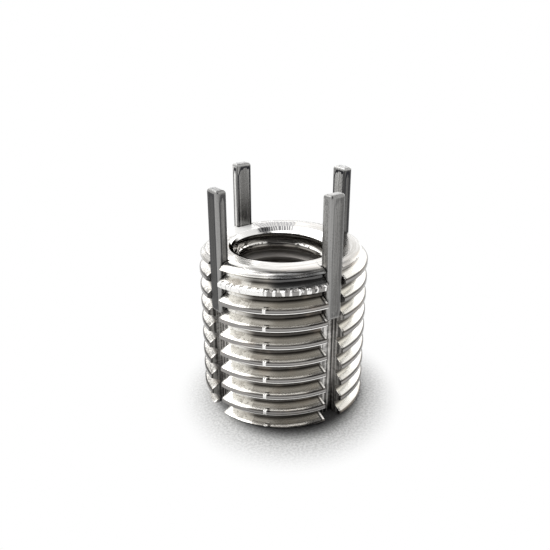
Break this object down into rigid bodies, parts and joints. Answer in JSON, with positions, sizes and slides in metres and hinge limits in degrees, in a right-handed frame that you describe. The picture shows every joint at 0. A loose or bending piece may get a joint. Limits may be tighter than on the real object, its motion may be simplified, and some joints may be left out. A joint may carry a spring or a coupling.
{
  "type": "key-locking threaded insert",
  "caption": "Round steel sleeve threaded outside and inside, with rectangular locking keys standing in slots cut down its side, ready to be driven in.",
  "frame": {"origin": "middle of the flat foot face of the sleeve", "axes": "+Z along the bore axis, up towards the keys; -Y through the front slot and key_1, +X through key_2"},
  "size_m": [0.014, 0.014, 0.0191],
  "materials": {
    "sleeve_steel": "turned stainless steel with fine machining lines, bright crests and a satin face",
    "key_steel": "drawn stainless bar, satin, with fine lines along its length"
  },
  "bodies": {
    "sleeve": {"sleeve": "sleeve_steel"},
    "key_1": {"key_1": "key_steel"},
    "key_2": {"key_2": "key_steel"},
    "key_3": {"key_3": "key_steel"},
    "key_4": {"key_4": "key_steel"}
  },
  "joints": [
    {"name": "key_1_drive", "type": "slide", "parent": "sleeve", "child": "key_1", "axis": [0, 0, -1], "range_m": [0, 0.0056]},
    {"name": "key_2_drive", "type": "slide", "parent": "sleeve", "child": "key_2", "axis": [0, 0, -1], "range_m": [0, 0.0056]},
    {"name": "key_3_drive", "type": "slide", "parent": "sleeve", "child": "key_3", "axis": [0, 0, -1], "range_m": [0, 0.0056]},
    {"name": "key_4_drive", "type": "slide", "parent": "sleeve", "child": "key_4", "axis": [0, 0, -1], "range_m": [0, 0.0056]}
  ]
}
